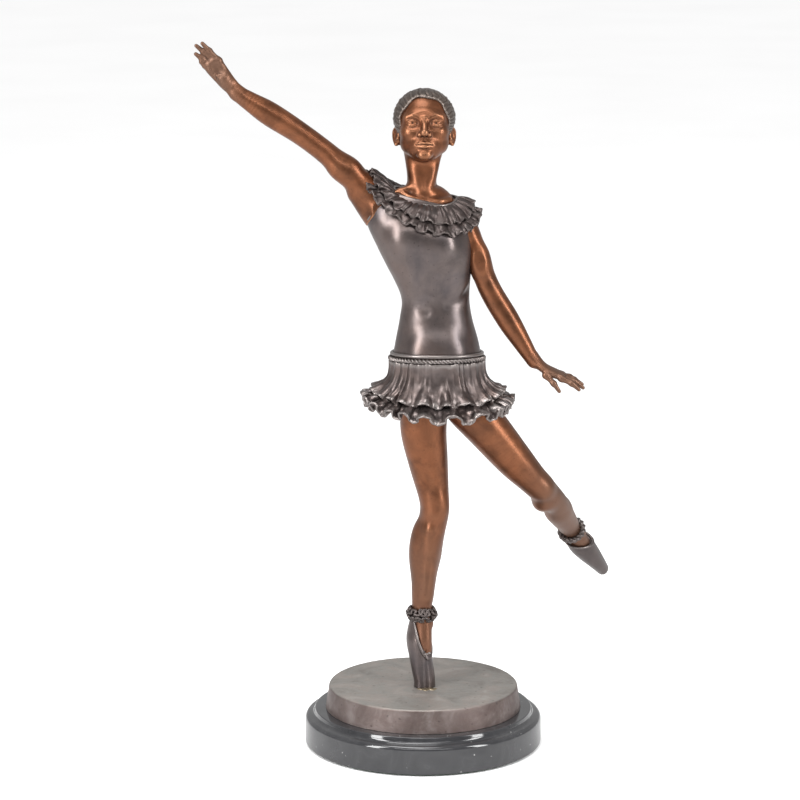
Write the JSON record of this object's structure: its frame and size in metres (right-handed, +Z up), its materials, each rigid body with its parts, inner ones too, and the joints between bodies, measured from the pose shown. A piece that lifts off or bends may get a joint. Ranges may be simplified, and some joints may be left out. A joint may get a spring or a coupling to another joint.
{
  "type": "bronze statuette",
  "caption": "Bronze statuette of a dancer on one toe in a frilled dress, arms spread and one leg raised behind, on a round bronze plinth and black marble base.",
  "frame": {"origin": "centre of the base's underside, on the face that rests on the shelf", "axes": "+Z up through the base's axis; the dancer faces -Y; her raised arm points to -X and her raised leg to +X and +Y"},
  "size_m": [0.3784, 0.2523, 0.6444],
  "materials": {
    "skin_bronze": "copper-brown satin patina",
    "dark_bronze": "dark gunmetal-brown patina",
    "hair_bronze": "dark brown patina",
    "marble": "polished black marble",
    "felt": "green baize",
    "steel": "zinc-plated"
  },
  "bodies": {
    "root": {"felt_pad": "felt", "marble_base": "marble", "plinth": "dark_bronze", "plinth_bolt_1": "steel", "plinth_bolt_2": "steel", "plinth_bolt_3": "steel", "plinth_washer_1": "steel", "plinth_washer_2": "steel", "plinth_washer_3": "steel", "toe_stud": "steel", "toe_stud_washer": "steel", "toe_stud_nut": "steel", "standing_leg": "skin_bronze", "standing_slipper": "dark_bronze", "standing_ankle_frill": "dark_bronze", "raised_leg": "skin_bronze", "raised_slipper": "dark_bronze", "raised_ankle_frill": "dark_bronze", "bodice": "dark_bronze", "hip_cord": "dark_bronze", "skirt_upper_frill": "dark_bronze", "skirt_lower_frill": "dark_bronze", "collar_upper_frill": "dark_bronze", "collar_lower_frill": "dark_bronze", "raised_arm": "skin_bronze", "lowered_arm": "skin_bronze", "head": "skin_bronze", "hair": "hair_bronze", "hair_bun": "hair_bronze"}
  },
  "joints": []
}
